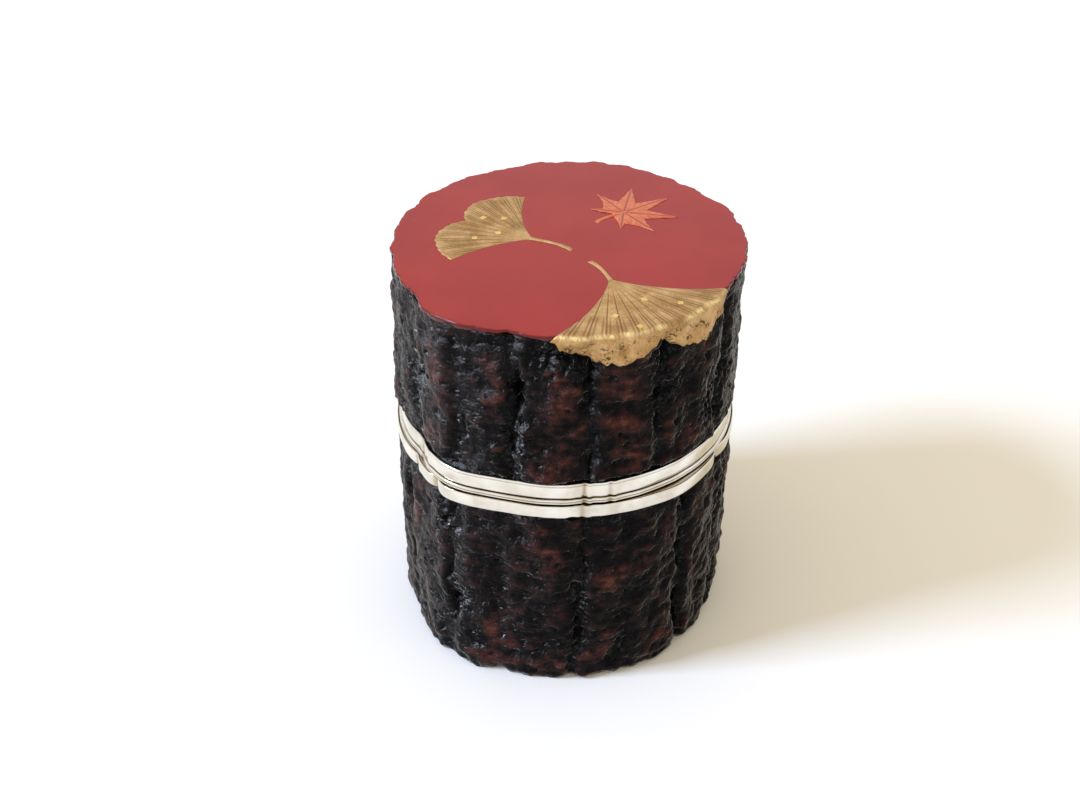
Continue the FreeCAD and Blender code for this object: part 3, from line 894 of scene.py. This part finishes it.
# Sprinkled gold: fine gold powder on raised lacquer, satin, brown in the veins
def sprinkledGold():
    material, tree, place = newMaterial("sprinkledGold")
    vein, rubbed, worn = (addNode(tree, "Attribute", {"attribute_name": mark}) for mark in leafMarks)
    # powder grains are drawn coarser than the real 0.05 mm so that they show
    powder = addNode(tree, "TexNoise", {"size": 0.28, "Detail": 3.0}, {"Vector": place})
    clouds = addNode(tree, "TexNoise", {"size": 4, "Detail": 4.0}, {"Vector": place})
    mixed = addNode(tree, "Math", {"operation": "MULTIPLY_ADD", 1: 0.6}, {0: powder, 2: clouds})
    tone = addNode(tree, "ValToRGB", {"stops": [(0.45, "#86643a"), (0.75, "#b58e59"), (1.0, "#d2ae7b")]},
                   {"Fac": mixed})
    groove = addNode(tree, "Mix", {"data_type": "RGBA", "B": "#76512a"}, {"Factor": vein, "A": tone})
    # powder lost in dark dots where the leaf lies on rough bark; on the turn of the edge polished and
    # smoother, with a painted highlight in its colour
    dots = addNode(tree, "TexNoise", {"size": 0.5, "Detail": 2.0}, {"Vector": place})
    gone = addNode(tree, "MapRange", {"range": (0.50, 0.60)}, {"Value": dots})
    lost = addNode(tree, "Math", {"operation": "MULTIPLY"}, {0: worn, 1: gone})
    dotted = addNode(tree, "Mix", {"data_type": "RGBA", "B": "#523c1f"}, {"Factor": lost, "A": groove})
    bright = addNode(tree, "Mix", {"data_type": "RGBA", "B": "#f6dc9c"}, {"Factor": rubbed, "A": dotted})
    powdery = addNode(tree, "MapRange", {"range": (0.0, 1.0, 0.46, 0.70)}, {"Value": powder})
    rough = addNode(tree, "Math", {"operation": "MULTIPLY_ADD", 1: -0.36}, {0: rubbed, 2: powdery})
    grains = addNode(tree, "Bump", {"Strength": 0.6, "Distance": 0.08 * mm}, {"Height": powder})
    return finishMaterial(material, {"Metallic": 0.7},
                          {"Base Color": bright, "Roughness": rough, "Normal": grains})


# Orange lacquer: raised and rubbed, darker in the veins, with faint cloudiness
def orangeLacquer():
    material, tree, place = newMaterial("orangeLacquer")
    vein = addNode(tree, "Attribute", {"attribute_name": "vein"})
    clouds = addNode(tree, "TexNoise", {"size": 2.5, "Detail": 5.0}, {"Vector": place})
    tone = addNode(tree, "ValToRGB", {"stops": [(0.3, "#c05a35"), (0.55, "#cd6b42"), (0.8, "#d88058")]},
                   {"Fac": clouds})
    groove = addNode(tree, "Mix", {"data_type": "RGBA", "B": "#93331d"}, {"Factor": vein, "A": tone})
    rough = addNode(tree, "MapRange", {"range": (0.0, 1.0, 0.26, 0.42)}, {"Value": clouds})
    return finishMaterial(material, {"IOR": 1.5}, {"Base Color": groove, "Roughness": rough})


# Cut foil: thin bright gold with faint crinkles
def cutFoil():
    material, tree, place = newMaterial("cutFoil")
    crinkle = addNode(tree, "TexNoise", {"size": 0.5, "Detail": 2.0}, {"Vector": place})
    tone = addNode(tree, "ValToRGB", {"stops": [(0.3, "#e0b662"), (0.7, "#f4d890")]}, {"Fac": crinkle})
    crumple = addNode(tree, "Bump", {"Strength": 0.3, "Distance": 0.05 * mm}, {"Height": crinkle})
    return finishMaterial(material, {"Metallic": 1.0, "Roughness": 0.22},
                          {"Base Color": tone, "Normal": crumple})


goldFinish = sprinkledGold()
fitPiece(goldFront, goldFinish, "lid", "gold_leaf_front")
fitPiece(goldLeft, goldFinish, "lid", "gold_leaf_left")
fitPiece(orangeMaple, orangeLacquer(), "lid", "orange_leaf")
fitPiece(foilSquares, cutFoil(), "lid", "gold_foil_squares")


# Turned inside: collar and the lid's ceiling

insideShape = {
    "columns": 192,
    "collarWall": 1.5,   # mm
    "lipRound": [(0, 0.7), (0.08, 0.35), (0.3, 0.08), (0.75, 0)],   # mm in from the face and down
    "ceilingRadius": 27.5,   # mm
    "ceilingEdge": 0.2,   # mm, small chamfer below
    "ceilingInner": 20.0,   # mm, a ring that keeps its faces short
    "ceilingTop": 0.9,   # mm down from the flat of the top
}


def makeTurned(name, section):   # radius and height in mm, going once round the section
    rows = len(section)

    def placePoint(across, row):
        radius, height = section[row % rows]
        return onCircle(fullTurn * across, radius, height), ()

    return addGrid(name, insideShape["columns"], rows, placePoint)


print("inside")
collarBore = collarRadius - insideShape["collarWall"]
outerLip = [(collarRadius - inward, collarHigh - down) for inward, down in insideShape["lipRound"]]
innerLip = [(collarBore + inward, collarHigh - down) for inward, down in insideShape["lipRound"][-2::-1]]
collarFoot = [(collarBore, collarLow), (collarRadius, collarLow)]
collarTube = makeTurned("collarTube", collarFoot + outerLip + innerLip)
ceilingTop = topHeight - insideShape["ceilingTop"]
ceilingRadius, ceilingEdge = insideShape["ceilingRadius"], insideShape["ceilingEdge"]
lidCeiling = makeTurned("lidCeiling", [
    (0.0, ceilingLow), (insideShape["ceilingInner"], ceilingLow), (ceilingRadius - ceilingEdge, ceilingLow),
    (ceilingRadius, ceilingLow + ceilingEdge), (ceilingRadius, ceilingTop),
    (insideShape["ceilingInner"], ceilingTop), (0.0, ceilingTop),
])


# Black lacquer: deep gloss with faint brush lines round the turning
def blackLacquer():
    material, tree, place = newMaterial("blackLacquer")
    flat = addNode(tree, "Mapping", {"Scale": (0.15, 0.15, 2.0)}, {"Vector": place})
    brush = addNode(tree, "TexNoise", {"size": 1.5, "Detail": 3.0}, {"Vector": flat})
    tone = addNode(tree, "ValToRGB", {"stops": [(0.3, "#0d0a0a"), (0.7, "#1a1413")]}, {"Fac": brush})
    rough = addNode(tree, "MapRange", {"range": (0.0, 1.0, 0.12, 0.28)}, {"Value": brush})
    return finishMaterial(material, {"IOR": 1.5}, {"Base Color": tone, "Roughness": rough})


# Turned wood: brown with wavering rings, lacquered dull
def turnedWood():
    material, tree, place = newMaterial("turnedWood")
    rings = addNode(tree, "TexWave", {
        "wave_type": "RINGS", "rings_direction": "Z", "size": 9, "Distortion": 3.0, "Detail": 3.0,
    }, {"Vector": place})
    tone = addNode(tree, "ValToRGB", {"stops": [(0.2, "#3a2116"), (0.8, "#5a3724")]}, {"Fac": rings})
    rough = addNode(tree, "MapRange", {"range": (0.0, 1.0, 0.35, 0.5)}, {"Value": rings})
    return finishMaterial(material, {"IOR": 1.5}, {"Base Color": tone, "Roughness": rough})


blackFinish = blackLacquer()
fitPiece(collarTube, blackFinish, "caddy_body", "inner_collar")
fitPiece(lidCeiling, blackFinish, "lid")
dress(nodes["bottom_board"], blackFinish)
dress(nodes["lid_wood_sleeve"], blackFinish)
dress(nodes["body_wood_sleeve"], turnedWood())


# Stage, light and camera

stageLook = {
    "floorColours": [(0.3, "#f7f7f6"), (0.7, "#f9f9f8")],
    "floorSize": 12.0,   # m
    "floorFade": (0.35, 0.9),   # m, where the floor goes over into the white background
    "backgroundColour": "#ffffff",
    "fillColour": "#fff2d9",
    "fillStrength": 0.86,
    "aim": (0, 0, 0.03),   # m, where the lamps point
    "keyColour": "#ccdeff",
    "keyPower": 92.0,   # W
    "keyPlace": (-2.3, -0.6, 1.9),   # m
    "keySize": (0.7, 0.65),   # m
    "glintColour": "#e4eeff",
    "glintPower": 640.0,   # W, seen in the bark's gloss only: the reflection of a window
    "glintPlace": (-1.97, -0.36, 0.5),   # m
    "glintSize": (2.2, 0.20),   # m
}
cameraPlace = {
    "place": (-4.99, -241.44, 214.80),   # mm
    "pitch": 35.42,   # degrees below the horizon
    "roll": 0.568,   # degrees
    "lens": 50.0,   # mm
    "sensor": 36.0,   # mm
    "nearest": 10.0,   # mm, nothing closer is drawn
}


# 1 for the rays that see the white background: straight from the camera, mirrored or through glass
def backgroundRays(tree):
    rays = addNode(tree, "LightPath")
    seen = addNode(tree, "Math", {"operation": "MAXIMUM"},
                   {0: rays.outputs["Is Camera Ray"], 1: rays.outputs["Is Glossy Ray"]})
    return addNode(tree, "Math", {"operation": "MAXIMUM"},
                   {0: seen, 1: rays.outputs["Is Transmission Ray"]})


# Paper floor: matt and near white, far from the object seen as the white background
def paperFloor():
    material, tree, place = newMaterial("paperFloor")
    grain = addNode(tree, "TexNoise", {"size": 60}, {"Vector": place})
    tone = addNode(tree, "ValToRGB", {"stops": stageLook["floorColours"]}, {"Fac": grain})
    paper = addNode(tree, "BsdfPrincipled", {"Roughness": 0.9, "Specular IOR Level": 0.1},
                    {"Base Color": tone})
    reach = addNode(tree, "VectorMath", {"operation": "LENGTH"}, {0: place})
    far = addNode(tree, "MapRange", {"range": stageLook["floorFade"]}, {"Value": reach.outputs["Value"]})
    faded = addNode(tree, "Math", {"operation": "MULTIPLY"}, {0: far, 1: backgroundRays(tree)})
    white = addNode(tree, "Emission", {"Color": stageLook["backgroundColour"], "Strength": 1.0})
    either = addNode(tree, "MixShader", links={0: faded, 1: paper, 2: white})
    addNode(tree, "OutputMaterial", links={"Surface": either})
    return material


print("stage")
clearSelection()
bpy.ops.mesh.primitive_plane_add(size=stageLook["floorSize"])
floor = bpy.context.object
floor.name = "floor"
dress(floor, paperFloor())

world = bpy.data.worlds.new("studio")
bpy.context.scene.world = world
world.use_nodes = True
worldTree = world.node_tree
worldTree.nodes.clear()
fill = addNode(worldTree, "Background",
               {"Color": stageLook["fillColour"], "Strength": stageLook["fillStrength"]})
white = addNode(worldTree, "Background", {"Color": stageLook["backgroundColour"], "Strength": 1.0})
either = addNode(worldTree, "MixShader", links={0: backgroundRays(worldTree), 1: fill, 2: white})
addNode(worldTree, "OutputWorld", links={"Surface": either})


def addLamp(lamp):
    clearSelection()
    bpy.ops.object.light_add(type="AREA", location=stageLook[lamp + "Place"])
    light = bpy.context.object
    light.name = lamp + "Light"
    light.data.shape = "RECTANGLE"
    light.data.size, light.data.size_y = stageLook[lamp + "Size"]
    light.data.energy = stageLook[lamp + "Power"]
    light.data.color = linearColour(stageLook[lamp + "Colour"])[:3]
    light.rotation_euler = (Vector(stageLook["aim"]) - light.location).to_track_quat("-Z", "Y").to_euler()
    return light


addLamp("key")
glintLight = addLamp("glint")
glintLight.visible_diffuse = False
barkOnly = bpy.data.collections.new("barkOnly")
barkOnly.objects.link(bodyBark)
barkOnly.objects.link(lidBark)
glintLight.light_linking.receiver_collection = barkOnly

clearSelection()
bpy.ops.object.camera_add(location=Vector(cameraPlace["place"]) * mm)
camera = bpy.context.object
camera.name = "photoCamera"
camera.rotation_mode = "QUATERNION"
tilt = Euler((math.radians(90 - cameraPlace["pitch"]), 0, 0)).to_quaternion()
camera.rotation_quaternion = tilt @ Quaternion((0, 0, 1), math.radians(cameraPlace["roll"]))
camera.data.lens = cameraPlace["lens"]
camera.data.sensor_width = cameraPlace["sensor"]
camera.data.clip_start = cameraPlace["nearest"] * mm
bpy.context.scene.camera = camera
bpy.context.scene.view_settings.view_transform = "Standard"

print("done")
